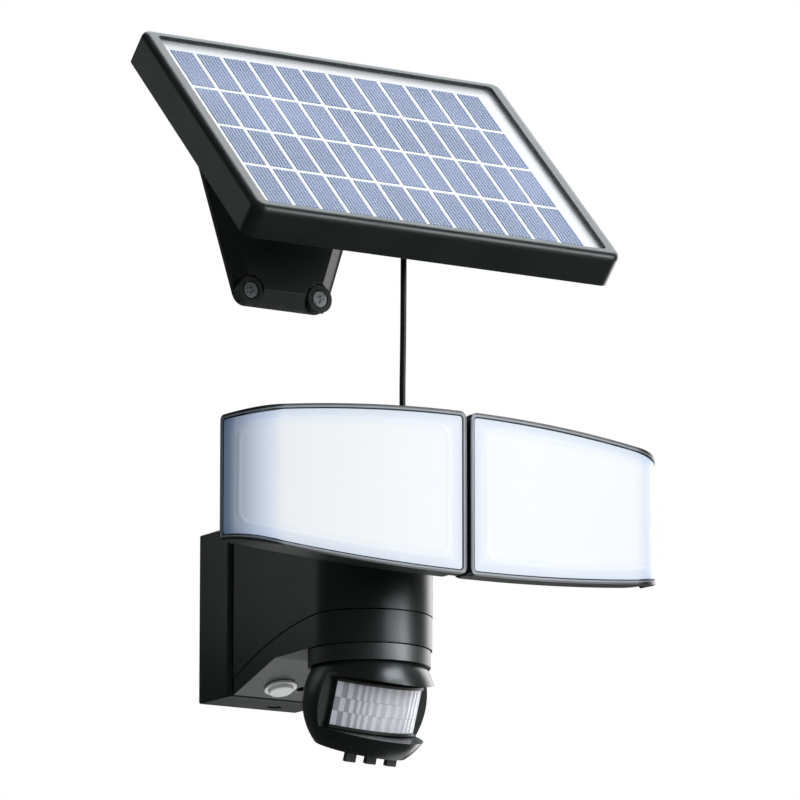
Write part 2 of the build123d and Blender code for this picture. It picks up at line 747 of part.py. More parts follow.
def head_screw_at(x, z):
    """Outer face of a screw head sunk into the housing's back."""
    tip_x, tip_y = HEAD_BACK_END
    return (x, HEAD_BACK_Y + (x / tip_x) ** 2 * (tip_y - HEAD_BACK_Y) - 0.4, z)


def head_screws():
    """Screws from the back that hold the front frame to the housing."""
    return group([machine_screw(2.6, 1.2, 1.2, 3.6, head_screw_at(x, z), (0, -1, 0))
                  for x, z in HEAD_SCREWS])


def drilled_housing():
    """Housing with bosses and counterbored holes for its screws."""
    body = head_housing()
    inside = housing_block()
    for x, z in HEAD_SCREWS:
        at = head_screw_at(x, z)
        body += rod(3.6, at, (0, -1, 0), 4.6) & inside
        body -= rod(2.65, (x, at[1] + 6, z), (0, -1, 0), 7.2)
        body -= rod(1.22, at, (0, -1, 0), 8)
    return body


HEAD_PARTS = {
    "head_housing": drilled_housing(),
    "head_bezel": head_bezel(),
    "head_gasket": head_gasket(),
    "head_lens": head_lens(),
    "head_reflector": head_reflector(),
    "led_board": led_board(),
    "head_screws": head_screws(),
}
for part_name, part_shape in HEAD_PARTS.items():
    save(f"right_{part_name}", part_shape)
    save(f"left_{part_name}", mirror_x(part_shape))


# ---------------------------------------------------------------- head carrier
def head_yoke():
    """Fork screwed to the front of the column that carries the tilt bolt."""
    pad = block(-17, 17, COL_Y - COL_R - 5.0, COL_Y - COL_R + 4.0, TILT_Z - 18, TILT_Z + 8)
    pad -= Pos(0, COL_Y, 0) * Cylinder(COL_R, 400)
    body = pad
    for s in (-1, 1):
        x0, x1 = sorted((s * 11.3, s * 16.0))
        cheek = block(x0, x1, TILT_Y, COL_Y - COL_R - 4.0, TILT_Z - 9, TILT_Z + 8)
        cheek += rod(9.0, (x0, TILT_Y, TILT_Z), (1, 0, 0), x1 - x0)
        body += cheek
    body -= rod(3.05, (-30, TILT_Y, TILT_Z), (1, 0, 0), 60)
    for x, z in YOKE_SCREWS:
        body -= rod(1.6, (x, COL_Y - COL_R - 8, z), (0, 1, 0), 12)
    return body


def head_hub():
    """Tongue on the tilt bolt and a cross block between the heads' lugs."""
    tongue = block(-11.0, 11.0, SWING_Y, TILT_Y, TILT_Z - 8.5, TILT_Z + 8.5)
    tongue += rod(8.5, (-11.0, TILT_Y, TILT_Z), (1, 0, 0), 22.0)
    cross = block(-SWING_X, SWING_X, SWING_Y - 5.5, SWING_Y + 5.5, TILT_Z - 15.8, TILT_Z + 15.8)
    body = tongue + cross
    for x in (-SWING_X, SWING_X):
        body += rod(5.5, (x, SWING_Y, TILT_Z - 15.8), (0, 0, 1), 31.6)
    body -= rod(3.05, (-30, TILT_Y, TILT_Z), (1, 0, 0), 60)
    for x in (-SWING_X, SWING_X):
        body -= rod(2.5, (x, SWING_Y, TILT_Z - 40), (0, 0, 1), 80)
    return body


def hub_pins():
    pins = []
    for x in (-SWING_X, SWING_X):
        pin = rod(2.5, (x, SWING_Y, TILT_Z - 25.5), (0, 0, 1), 51.0)
        head = rod(4.2, (x, SWING_Y, TILT_Z + 24.3), (0, 0, 1), 1.8)
        pins.append(pin + head)
    return group(pins)


def tilt_bolt():
    shank = rod(3.0, (-16.3, TILT_Y, TILT_Z), (1, 0, 0), 38.0)
    head = rod(5.5, (-19.8, TILT_Y, TILT_Z), (1, 0, 0), 3.5)
    socket = RegularPolygon(2.2, 6)
    plane = Plane(origin=(-19.9, TILT_Y, TILT_Z), z_dir=(1, 0, 0))
    return shank + head - extrude(plane * socket, 2.2)


def tilt_wing():
    """Knurled thumb nut on the tilt bolt."""
    nut = rod(7.5, (16.4, TILT_Y, TILT_Z), (1, 0, 0), 6.5)
    for k in range(10):
        a = math.radians(36 * k)
        nut -= rod(0.9, (16.0, TILT_Y + 7.8 * math.cos(a), TILT_Z + 7.8 * math.sin(a)),
                   (1, 0, 0), 8)
    return nut - rod(3.05, (10, TILT_Y, TILT_Z), (1, 0, 0), 20)


save("head_yoke", head_yoke())
save("head_hub", head_hub())
save("hub_pins", hub_pins())
save("tilt_bolt", tilt_bolt())
save("tilt_thumb_nut", tilt_wing())


# ---------------------------------------------------------------- solar panel
TILT = math.radians(PANEL_TILT)
PANEL = Plane(origin=(PANEL_X, PANEL_Y, PANEL_Z), x_dir=(1, 0, 0),
              z_dir=(0, -math.sin(TILT), math.cos(TILT)))
# In the panel's frame X is sideways, Y runs up the slope and Z is out of the glass; top is Z = 0.


def panel_frame():
    outer = block(-PANEL_W / 2, PANEL_W / 2, -PANEL_L / 2, PANEL_L / 2, -PANEL_T, 0)
    outer = fillet(outer.edges().filter_by(Axis.Z), PANEL_CORNER_R)
    outer = fillet(outer.faces().sort_by(Axis.Z)[-1].edges(), PANEL_EDGE_R)
    w = PANEL_W / 2 - PANEL_SIDE_LIP
    length = PANEL_L / 2 - PANEL_LIP
    window = block(-w, w, -length, length, -PANEL_T - 1, 1)
    window = fillet(window.edges().filter_by(Axis.Z), 3.0)
    rebate = block(-w - 3.5, w + 3.5, -length - 3.5, length + 3.5, -PANEL_T - 1, -GLASS_DEPTH)
    return PANEL * (outer - window - rebate)


def panel_glass():
    w = PANEL_W / 2 - PANEL_SIDE_LIP + 3.2
    length = PANEL_L / 2 - PANEL_LIP + 3.2
    return PANEL * block(-w, w, -length, length, -GLASS_DEPTH - GLASS_T, -GLASS_DEPTH - 0.02)


def cell_sheet():
    w = PANEL_W / 2 - PANEL_SIDE_LIP + 3.0
    length = PANEL_L / 2 - PANEL_LIP + 3.0
    top = -GLASS_DEPTH - GLASS_T - CELL_T - 0.04
    return PANEL * block(-w, w, -length, length, top - 1.0, top)


def solar_cells():
    cells = []
    wide = CELL_PITCH_X - CELL_GAP_X
    tall = CELL_PITCH_Y - CELL_GAP_Y
    for i in range(CELL_COLS):
        for j in range(CELL_ROWS):
            x = CELLS_LEFT + i * CELL_PITCH_X
            y = CELLS_TOP - j * CELL_PITCH_Y
            top = -GLASS_DEPTH - GLASS_T - 0.02
            cells.append(PANEL * block(x, x + wide, y - tall, y, top - CELL_T, top))
    return group(cells)


BACK_SCREWS = [(sx * 106.0, y) for sx in (-1, 1) for y in (-76.0, 0.0, 76.0)]
LUG_SCREWS = [(x, y) for x in (-22, 22) for y in (-19, 19)]
GROMMET = (CABLE_POINTS[-1][0], CABLE_POINTS[-1][1])
GROMMET_Z = 256.6


RIB_TOP = -GLASS_DEPTH - GLASS_T - CELL_T - 1.2


def panel_back():
    """Back cover inside the frame, with the boss for the hinge."""
    w = PANEL_W / 2 - PANEL_SIDE_LIP + 3.2
    length = PANEL_L / 2 - PANEL_LIP + 3.2
    low = -PANEL_T
    plate = block(-w, w, -length, length, low, low + 2.5)
    plate = fillet(plate.edges().filter_by(Axis.Z), 5.0)
    for y in (-45, 45):
        plate += block(-95, 95, y - 1, y + 1, low + 2.5, RIB_TOP)
    for x in (-70, -35, 35, 70):
        plate += block(x - 1, x + 1, -72, 72, low + 2.5, RIB_TOP)
    for x, y in BACK_SCREWS:
        plate += rod(3.5, (x, y, low + 2.5), (0, 0, 1), 8)
        plate -= rod(1.3, (x, y, low - 1), (0, 0, 1), 9)
    for x, y in LUG_SCREWS:
        plate += rod(3.5, (x, y, low + 2.5), (0, 0, 1), 5)
        plate -= rod(1.3, (x, y, low - 1), (0, 0, 1), 7.5)
    body = PANEL * plate
    return body - rod(4.0, (GROMMET[0], GROMMET[1], GROMMET_Z - 12), (0, 0, 1), 20)


def panel_screws():
    """Alike screws: six in the back cover and four in the hinge lug's pad."""
    screws = [machine_screw(2.8, 1.6, 1.2, 6.5, (x, y, -PANEL_T - 1.65), (0, 0, 1))
              for x, y in BACK_SCREWS]
    screws += [machine_screw(2.8, 1.6, 1.2, 9.0, (x, y, -PANEL_T - 5.65), (0, 0, 1))
               for x, y in LUG_SCREWS]
    return PANEL * group(screws)


def hinge_lug():
    """Knuckle between the bracket's cheeks, on a pad that is screwed to the panel's back."""
    pad = PANEL * block(-30, 30, -26, 26, -PANEL_T - 4.0, -PANEL_T)
    eye = rod(10.0, (PANEL_X - 12, HINGE_Y, HINGE_Z), (1, 0, 0), 24.0)
    reach = PANEL.to_local_coords(Vector(PANEL_X, HINGE_Y, HINGE_Z))
    web = PANEL * block(-12, 12, reach.Y - 10, reach.Y + 10, reach.Z, -PANEL_T - 3.0)
    body = pad + eye + web
    body -= rod(3.05, (PANEL_X - 30, HINGE_Y, HINGE_Z), (1, 0, 0), 60)
    for x, y in LUG_SCREWS:
        body -= PANEL * rod(1.8, (x, y, -PANEL_T - 6), (0, 0, 1), 8)
    return body


save("panel_frame", panel_frame())
save("panel_glass", panel_glass())
save("cell_sheet", cell_sheet())
save("solar_cells", solar_cells())
save("panel_back", panel_back())
save("panel_screws", panel_screws())
save("hinge_lug", hinge_lug())


# ---------------------------------------------------------------- wall bracket
def half_width(z):
    return BRACKET_HALF_BOTTOM + BRACKET_FLARE * (z - SCREW_Z)


BRACKET_SCREWS = [(SCREW_HALF, SCREW_Z), (UPPER_SCREW_HALF, UPPER_SCREW_Z)]


def wall_face(half_widths, y):
    """Symmetrical face parallel to the wall from (half width, height) pairs, listed upwards."""
    right = [(PANEL_X + half, z) for half, z in half_widths]
    left = [(PANEL_X - half, z) for half, z in reversed(half_widths)]
    plane = Plane(origin=(0, y, 0), x_dir=(1, 0, 0), z_dir=(0, -1, 0))
    return plane * make_face(Polyline(*right, *left, close=True))


def base_plate():
    """Trapezoid with tangents to the lower bosses."""
    shoulder = SCREW_Z - BOSS_R * math.sin(math.atan(BRACKET_FLARE))
    outline = [(SCREW_HALF, SCREW_Z - BOSS_R), (half_width(shoulder), shoulder),
               (half_width(BRACKET_TOP), BRACKET_TOP)]
    return extrude(wall_face(outline, 0), BRACKET_BASE)


def boss(sx, half, z, depth, radius=BOSS_R):
    return rod(radius, (PANEL_X + sx * half, 0, z), (0, -1, 0), depth)


def raised_face():
    """Raised middle whose sides and bottom slope back to the base plate."""
    def face(inset, y):
        heights = (SCREW_Z - BOSS_R + inset, BRACKET_TOP - inset)
        return wall_face([(half_width(z) - inset, z) for z in heights], y)
    return loft([face(0.8, -BRACKET_BASE + 0.2), face(BRACKET_SLOPE, -BRACKET_FACE)])


def wall_bracket():
    """Moulded bracket: base plate, raised face with sloping sides, four bosses and two cheeks."""
    body = base_plate() + boss(-1, SCREW_HALF, SCREW_Z, BRACKET_BASE)
    body += boss(1, SCREW_HALF, SCREW_Z, BRACKET_BASE)
    body += raised_face()
    for sx in (-1, 1):
        for half, z in BRACKET_SCREWS:
            moat = boss(sx, half, z, 30, BOSS_R + 1.0) - boss(sx, half, z, BRACKET_BASE, BOSS_R + 2.0)
            body -= moat
            body += boss(sx, half, z, BRACKET_FACE)
            body -= rod(2.3, (PANEL_X + sx * half, 1, z), (0, -1, 0), 20)
            body -= rod(SCREW_SEAT_R, (PANEL_X + sx * half, -BRACKET_FACE + 3.2, z), (0, -1, 0), 9)
    for sx in (-1, 1):
        x0, x1 = sorted((PANEL_X + sx * 12.3, PANEL_X + sx * 17.3))
        arm = prism([(-BRACKET_FACE + 1, 272), (-BRACKET_FACE + 1, 326), (HINGE_Y + 4, HINGE_Z + 10.2),
                     (HINGE_Y, HINGE_Z - 10.5)],
                    Plane(origin=(x0, 0, 0), x_dir=(0, 1, 0), z_dir=(1, 0, 0)), x1 - x0)
        arm += rod(11.0, (x0, HINGE_Y, HINGE_Z), (1, 0, 0), x1 - x0)
        body += arm
    return body - rod(3.05, (PANEL_X - 30, HINGE_Y, HINGE_Z), (1, 0, 0), 60)


def bracket_screws():
    """Four pan-headed screws, sunk flush in the bosses; what is in the wall is left off."""
    return group([machine_screw(4.6, 3.0, 2.0, BRACKET_FACE - 3.2,
                                (PANEL_X + sx * half, -BRACKET_FACE + 0.1, z), (0, 1, 0))
                  for sx in (-1, 1) for half, z in BRACKET_SCREWS])


def hinge_bolt():
    shank = rod(3.0, (PANEL_X - 17.6, HINGE_Y, HINGE_Z), (1, 0, 0), 44.0)
    head = rod(6.0, (PANEL_X - 21.6, HINGE_Y, HINGE_Z), (1, 0, 0), 4.0)
    plane = Plane(origin=(PANEL_X - 21.7, HINGE_Y, HINGE_Z), z_dir=(1, 0, 0))
    return shank + head - extrude(plane * RegularPolygon(2.6, 6), 2.6)


def wing_nut():
    """Wing nut that clamps the panel's tilt."""
    x = PANEL_X + 17.7
    hub = rod(5.5, (x, HINGE_Y, HINGE_Z), (1, 0, 0), 7.0)
    wings = block(x + 1.5, x + 9.0, HINGE_Y - 13, HINGE_Y + 13, HINGE_Z - 1.4, HINGE_Z + 1.4)
    wings = fillet(wings.edges().filter_by(Axis.Z), 1.2)
    return hub + wings - rod(3.05, (x - 10, HINGE_Y, HINGE_Z), (1, 0, 0), 40)


save("wall_bracket", wall_bracket())
save("bracket_screws", bracket_screws())
save("hinge_bolt", hinge_bolt())
save("wing_nut", wing_nut())


# ---------------------------------------------------------------- cable
def corner_radii(points):
    """Radius of each bend: 0.45 of the shorter run over the tangent of half the turn."""
    radii = []
    for a, b, c in zip(points, points[1:], points[2:]):
        u = Vector(*b) - Vector(*a)
        v = Vector(*c) - Vector(*b)
        half = math.radians(u.get_angle(v)) / 2
        radii.append(0.45 * min(u.length, v.length) / math.tan(half))
    return radii


def cable():
    radii = corner_radii(CABLE_POINTS)
    print("cable bend radii:", [round(r) for r in radii])
    path = FilletPolyline(*CABLE_POINTS, radius=radii)
    start = Plane(origin=path @ 0, z_dir=path % 0)
    body = sweep(start * Circle(CABLE_D / 2), path)
    print("cable length:", round(path.length, 1), "volume ratio:",
          round(body.volume / (path.length * math.pi * CABLE_D ** 2 / 4), 4))
    return body


def lamp_gland():
    """Gland on top of the column, seated in its hole."""
    x, y = GLAND_XY
    low = ARM_TOP - 4.0
    body = rod(3.9, (x, y, low), (0, 0, 1), 6)
    body += extrude(Plane(origin=(x, y, ARM_TOP + 0.02)) * RegularPolygon(6.5, 6), 4.0)
    body += rod(4.0, (x, y, ARM_TOP + 3.9), (0, 0, 1), 4.0)
    return body - rod(CABLE_D / 2, (x, y, low - 1), (0, 0, 1), 20)


def panel_grommet():
    """Cable outlet in the panel's back cover."""
    x, y = GROMMET
    top = GROMMET_Z
    body = rod(3.9, (x, y, top - 9), (0, 0, 1), 12)
    body += Pos(x, y, CABLE_POINTS[-1][2] + 4.1) * Cone(3.0, 4.6, 8.0)
    return body


save("panel_cable", cable())
save("lamp_gland", lamp_gland())
save("panel_grommet", panel_grommet())
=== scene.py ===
"""Solar flood light: looks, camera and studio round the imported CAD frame.  Metres, +Z up."""
import bpy
import bmesh
import math
from mathutils import Matrix, Vector


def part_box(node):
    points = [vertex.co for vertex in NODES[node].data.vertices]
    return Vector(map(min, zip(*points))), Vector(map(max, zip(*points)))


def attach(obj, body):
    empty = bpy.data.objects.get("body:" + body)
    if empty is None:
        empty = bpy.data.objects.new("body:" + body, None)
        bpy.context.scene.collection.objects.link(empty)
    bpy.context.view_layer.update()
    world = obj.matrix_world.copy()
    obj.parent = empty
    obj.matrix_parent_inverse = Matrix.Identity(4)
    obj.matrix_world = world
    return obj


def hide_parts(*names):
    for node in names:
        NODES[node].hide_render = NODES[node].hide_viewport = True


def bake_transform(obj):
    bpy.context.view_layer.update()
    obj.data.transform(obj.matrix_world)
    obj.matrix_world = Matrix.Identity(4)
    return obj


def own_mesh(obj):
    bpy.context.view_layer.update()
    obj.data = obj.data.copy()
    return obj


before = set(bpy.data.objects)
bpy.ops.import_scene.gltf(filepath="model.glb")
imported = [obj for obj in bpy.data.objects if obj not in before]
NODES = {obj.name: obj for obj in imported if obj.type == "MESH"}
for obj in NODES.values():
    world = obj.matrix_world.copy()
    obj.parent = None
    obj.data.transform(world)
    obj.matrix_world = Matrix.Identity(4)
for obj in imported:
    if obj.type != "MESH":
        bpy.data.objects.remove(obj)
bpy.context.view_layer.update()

# ---------------------------------------------------------------- dimensions shared with the CAD
# panel hinge, ball centre and the turns of both
PANEL_AT = (0.019, -0.1116, 0.3077)
PANEL_TILT = math.radians(45.0)
BALL_AT = (0.0, -0.1288, -0.0135)
BALL_TILT = math.radians(19.0)
BALL_PAN = math.radians(5.0)

# sensor window, in the ball's frame
LENS_R = 0.052
LENS_HALF_W = 0.0286
LENS_LOW = -0.0132
LENS_HIGH = 0.0110
LENS_ENDS = 0.0066
LENS_T = 0.0012

# solar cells, in the panel's frame
CELL_PITCH = 0.01737
CELLS_LEFT = -0.10485

# front of a lamp head: broad curve, then an end that wraps back a quarter turn
HEAD_R = 1.2850
HEAD_FRONT_Y = -0.2296
HEAD_SWEEP = math.radians(5.05)
HEAD_END_R = 0.0263
HEAD_END_SWEEP = math.radians(84.95)
HEAD_GAP = 0.0012
HEAD_TOP = 0.1317
HEAD_BOTTOM = 0.0424
TOP_FALL = 0.0068
TOP_END_FALL = 0.0118
LOW_RISE = 0.0061
LOW_END_RISE = 0.0110

# panel lead, and the slope of the arm's underside that holds the button
CABLE_D = 0.0035
CABLE_ROUTE = [(0.0190, -0.1340, 0.1040), (0.0183, -0.1334, 0.1490), (0.0187, -0.1343, 0.1970),
               (0.0191, -0.1339, 0.2405)]
SLOPE_RISE = 14.2
SLOPE_RUN = 47.0


# ---------------------------------------------------------------- camera
def make_camera():
    """Long lens from below and to the left of the lamp's front."""
    data = bpy.data.cameras.new("camera")
    data.sensor_width = 36.0
    data.lens = 299.25
    data.clip_end = 50.0
    cam = bpy.data.objects.new("camera", data)
    bpy.context.scene.collection.objects.link(cam)
    cam.location = (-1.9084, -3.1791, -0.5701)
    look = Vector((0.52381, 0.82859, 0.19765))
    cam.rotation_euler = look.to_track_quat("-Z", "Y").to_euler()
    bpy.context.scene.camera = cam


make_camera()


# ---------------------------------------------------------------- node helpers
class Nodes:
    """A material's node tree, with a short method for each kind of node."""

    def __init__(self, name):
        self.mat = bpy.data.materials.new(name)
        self.mat.use_nodes = True
        self.tree = self.mat.node_tree
        self.bsdf = self.tree.nodes["Principled BSDF"]
        self.coord = self.add("ShaderNodeTexCoord").outputs["Object"]

    def add(self, kind, **props):
        node = self.tree.nodes.new(kind)
        for key, value in props.items():
            setattr(node, key, value)
        return node

    def link(self, a, b):
        self.tree.links.new(a, b)

    def set(self, **values):
        for key, value in values.items():
            self.bsdf.inputs[key.replace("_", " ")].default_value = value

    def noise(self, scale, detail=2.0, vector=None):
        node = self.add("ShaderNodeTexNoise")
        node.inputs["Scale"].default_value = scale
        node.inputs["Detail"].default_value = detail
        self.link(vector or self.coord, node.inputs["Vector"])
        return node.outputs["Fac"]

    def fill(self, sockets, values):
        """Sets each socket to a number or a colour, or links it to another node's output."""
        for socket, value in zip(sockets, values):
            if isinstance(value, (int, float)):
                socket.default_value = value
            elif isinstance(value, tuple):
                socket.default_value = (*value, 1.0)
            else:
                self.link(value, socket)

    def math(self, op, a, b=0.0):
        node = self.add("ShaderNodeMath", operation=op)
        self.fill(node.inputs, (a, b))
        return node.outputs[0]

    def remap(self, value, lo, hi, out_lo, out_hi, shape="LINEAR"):
        node = self.add("ShaderNodeMapRange", interpolation_type=shape)
        self.link(value, node.inputs["Value"])
        for key, number in (("From Min", lo), ("From Max", hi), ("To Min", out_lo),
                            ("To Max", out_hi)):
            node.inputs[key].default_value = number
        return node.outputs["Result"]

    def spread(self, noise):
        """Noise stretched to run from 0 to 1."""
        return self.remap(noise, 0.3, 0.7, 0.0, 1.0)

    def mix(self, factor, a, b, blend="MIX"):
        node = self.add("ShaderNodeMix", data_type="RGBA", blend_type=blend)
        self.fill([s for s in node.inputs if s.enabled], (factor, a, b))
        return [s for s in node.outputs if s.enabled][0]

    def colour(self, value):
        self.link(value, self.bsdf.inputs["Base Color"])

    def rough(self, value):
        self.link(value, self.bsdf.inputs["Roughness"])

    def bump(self, height, strength, distance, edge=0.0):
        node = self.add("ShaderNodeBump")
        node.inputs["Strength"].default_value = strength
        node.inputs["Distance"].default_value = distance
        self.link(height, node.inputs["Height"])
        if edge:
            bevel = self.add("ShaderNodeBevel", samples=4)
            bevel.inputs["Radius"].default_value = edge
            self.link(bevel.outputs["Normal"], node.inputs["Normal"])
        self.link(node.outputs["Normal"], self.bsdf.inputs["Normal"])

    def separate(self, vector):
        node = self.add("ShaderNodeSeparateXYZ")
        self.link(vector, node.inputs[0])
        return node.outputs

    def local(self, origin, tilt):
        """Object coordinates turned into a frame that is tilted about X."""
        shift = self.add("ShaderNodeVectorMath", operation="SUBTRACT")
        self.link(self.coord, shift.inputs[0])
        shift.inputs[1].default_value = origin
        turn = self.add("ShaderNodeVectorRotate", rotation_type="X_AXIS")
        turn.inputs["Angle"].default_value = -tilt
        self.link(shift.outputs[0], turn.inputs["Vector"])
        return turn.outputs[0]


# ---------------------------------------------------------------- materials
SHELL = ((0.0085, 0.0125, 0.0110), (0.0115, 0.0160, 0.0142))
FLOW_SCALE = 28.0
SPARK_SCALE = 2600.0


def plastic(name, dark, light, rough=0.36, grain=0.12, edge=0.0005, specular=0.5):
    """Satin moulded plastic: faint flow variation, fine spark grain and softened edges."""
    n = Nodes(name)
    broad = n.noise(FLOW_SCALE, 3.0)
    n.colour(n.mix(n.spread(broad), dark, light))
    sheen = n.remap(broad, 0.3, 0.7, rough - 0.03, rough + 0.03)
    if grain > 0.0:
        speck = n.noise(900.0, 1.0)
        sheen = n.math("ADD", sheen, n.remap(speck, 0.35, 0.65, -0.02, 0.02))
        n.bump(n.noise(SPARK_SCALE), grain, 0.00005, edge)
    n.rough(sheen)
    n.set(Specular_IOR_Level=specular)
    return n.mat


def metal(name, colour, rough=0.32):
    """Plated or blackened steel with fine streaks."""
    n = Nodes(name)
    streak = n.noise(1400.0, 3.0)
    n.colour(n.mix(n.spread(n.noise(60.0)), colour, tuple(0.82 * c for c in colour)))
    n.rough(n.remap(streak, 0.3, 0.7, rough - 0.08, rough + 0.08))
    n.bump(streak, 0.08, 0.00003, 0.0002)
    n.set(Metallic=1.0)
    return n.mat


MAT = {}
MAT["shell"] = plastic("shell_plastic", *SHELL)
MAT["shell_fine"] = plastic("shell_plastic_smooth", (0.0080, 0.0115, 0.0105),
                            (0.0105, 0.0145, 0.0130), rough=0.30, grain=0.0)
MAT["collar"] = plastic("collar_plastic", *SHELL, rough=0.42, grain=0.04, edge=0.0003,
                        specular=1.0)
MAT["holder"] = plastic("dark_inner_plastic", (0.018, 0.020, 0.018), (0.024, 0.026, 0.024),
                        rough=0.42, grain=0.1, edge=0.0002)
MAT["knob"] = plastic("knob_plastic", (0.034, 0.043, 0.039), (0.042, 0.052, 0.047),
                      rough=0.40, grain=0.1, edge=0.0003)
# lighter copy of the shell plastic: painted light on the bracket, whose face sits in the panel's
# shadow
MAT["bracket"] = plastic("bracket_plastic_painted_light", (0.024, 0.031, 0.028), (0.030, 0.038, 0.034))
MAT["gasket"] = plastic("gasket_rubber", (0.004, 0.0045, 0.0045), (0.006, 0.0065, 0.0065),
                        rough=0.6, grain=0.3, edge=0.0)
MAT["cable"] = plastic("cable_jacket", (0.006, 0.007, 0.007), (0.010, 0.011, 0.011),
                       rough=0.45, grain=0.25, edge=0.0)
MAT["white_moulding"] = plastic("white_moulding", (0.78, 0.79, 0.78), (0.84, 0.85, 0.84),
                                rough=0.35, grain=0.05, edge=0.0003)
MAT["board"] = plastic("board_white", (0.74, 0.76, 0.74), (0.80, 0.81, 0.79), rough=0.5)
MAT["green_board"] = plastic("board_green", (0.012, 0.075, 0.030), (0.018, 0.095, 0.040),
                             rough=0.4, grain=0.2)
MAT["battery"] = plastic("battery_wrap", (0.030, 0.130, 0.330), (0.040, 0.160, 0.380), rough=0.3)
MAT["steel"] = metal("zinc_steel", (0.36, 0.37, 0.38))
MAT["dark_steel"] = metal("dark_steel", (0.16, 0.165, 0.17), rough=0.38)


def head_edge(n, x, middle, at_bend, at_end):
    """Height of the head's top or bottom edge at a distance x from the middle."""
    bend_x = HEAD_R * math.sin(HEAD_SWEEP)
    share = n.math("DIVIDE", n.math("MINIMUM", x, bend_x), bend_x)
    inner = n.math("MULTIPLY", n.math("POWER", share, 2.0), at_bend)
    past = n.math("MAXIMUM", n.math("SUBTRACT", x, bend_x), 0.0)
    outer = n.math("MULTIPLY", past, (at_end - at_bend) / HEAD_END_R)
    return n.math("ADD", n.math("ADD", inner, outer), middle)


def head_rim(n):
    """Distance in from the nearest of the head's top, bottom and middle edges."""
    xyz = n.separate(n.coord)
    x = n.math("ABSOLUTE", xyz[0])
    top = head_edge(n, x, HEAD_TOP, -TOP_FALL, -TOP_END_FALL)
    low = head_edge(n, x, HEAD_BOTTOM, LOW_RISE, LOW_END_RISE)
    rim = n.math("MINIMUM", n.math("SUBTRACT", top, xyz[2]), n.math("SUBTRACT", xyz[2], low))
    return n.math("MINIMUM", rim, n.math("SUBTRACT", x, HEAD_GAP))


def bezel_plastic_painted_lip_highlight():
    """Dark frame whose inner lip carries a painted highlight, a pale grey line."""
    n = Nodes("bezel_plastic_painted_lip_highlight")
    broad = n.noise(FLOW_SCALE, 3.0)
    dark = n.mix(n.spread(broad), *SHELL)
    # painted highlight: a pale bluish-grey line along the lip, 0.9 to 1.3 mm in from the head's
    # edges
    n.colour(n.mix(n.remap(head_rim(n), 0.0009, 0.0013, 0.0, 1.0), dark, (0.200, 0.225, 0.255)))
    n.rough(n.remap(broad, 0.3, 0.7, 0.33, 0.39))
    n.bump(n.noise(SPARK_SCALE), 0.08, 0.00005, 0.0003)
    return n.mat


def frosted_lens(name, painted_highlight_gain=1.0):
    """Milky diffuser: whiter in the middle and cooler towards its edges; round its end, painted
    shade makes it darker and bluer.
    """
    n = Nodes(name)
    middle = n.remap(head_rim(n), 0.0015, 0.0130, 0.0, 1.0, "SMOOTHSTEP")
    face = n.mix(middle, (0.68 * painted_highlight_gain, 0.745 * painted_highlight_gain, 0.85 * painted_highlight_gain),
                 (0.885 * painted_highlight_gain, 0.905 * painted_highlight_gain, 0.925 * painted_highlight_gain))
    face = n.mix(n.remap(n.noise(10.0), 0.35, 0.65, 0.0, 0.12), face, (0.80, 0.85, 0.92))
    # painted shade: the further the surface turns to the side, the darker and bluer the colour,
    # as if light fell off round the end
    turned = n.math("ABSOLUTE", n.separate(n.add("ShaderNodeNewGeometry").outputs["Normal"])[0])
    painted_end_shade = n.add("ShaderNodeValToRGB")
    n.link(turned, painted_end_shade.inputs["Fac"])
    first, last = painted_end_shade.color_ramp.elements
    first.position, first.color = 0.10, (1.0, 1.0, 1.0, 1.0)
    last.position, last.color = 1.0, (0.46, 0.63, 0.90, 1.0)
    for place, colour in ((0.45, (0.94, 1.0, 1.12, 1.0)), (0.80, (0.93, 1.0, 1.16, 1.0)),
                          (0.90, (0.90, 1.0, 1.18, 1.0)), (0.965, (0.50, 0.68, 0.95, 1.0))):
        painted_end_shade.color_ramp.elements.new(place).color = colour
    n.colour(n.mix(1.0, face, painted_end_shade.outputs["Color"], "MULTIPLY"))
    fine = n.noise(3000.0)
    n.rough(n.remap(fine, 0.3, 0.7, 0.32, 0.38))
    n.bump(fine, 0.04, 0.00004, 0.0006)
    n.set(Specular_IOR_Level=0.25)
    return n.mat


def pir_plastic():
    """Milky film of the sensor window; each facet takes its own painted shade."""
    n = Nodes("pir_lens")
    shade = n.add("ShaderNodeAttribute", attribute_name="facet_painted_shade")
    fine = n.noise(2500.0)
    base = n.mix(n.spread(n.noise(40.0)), (0.84, 0.84, 0.92), (0.88, 0.88, 0.95))
    # painted shade: each facet's stored tone blends from this grey-blue to the milky base
    n.colour(n.mix(shade.outputs["Fac"], (0.27, 0.30, 0.34), base))
    n.rough(n.remap(fine, 0.3, 0.7, 0.24, 0.32))
    n.bump(fine, 0.04, 0.00004)
    n.set(Specular_IOR_Level=0.5)
    return n.mat


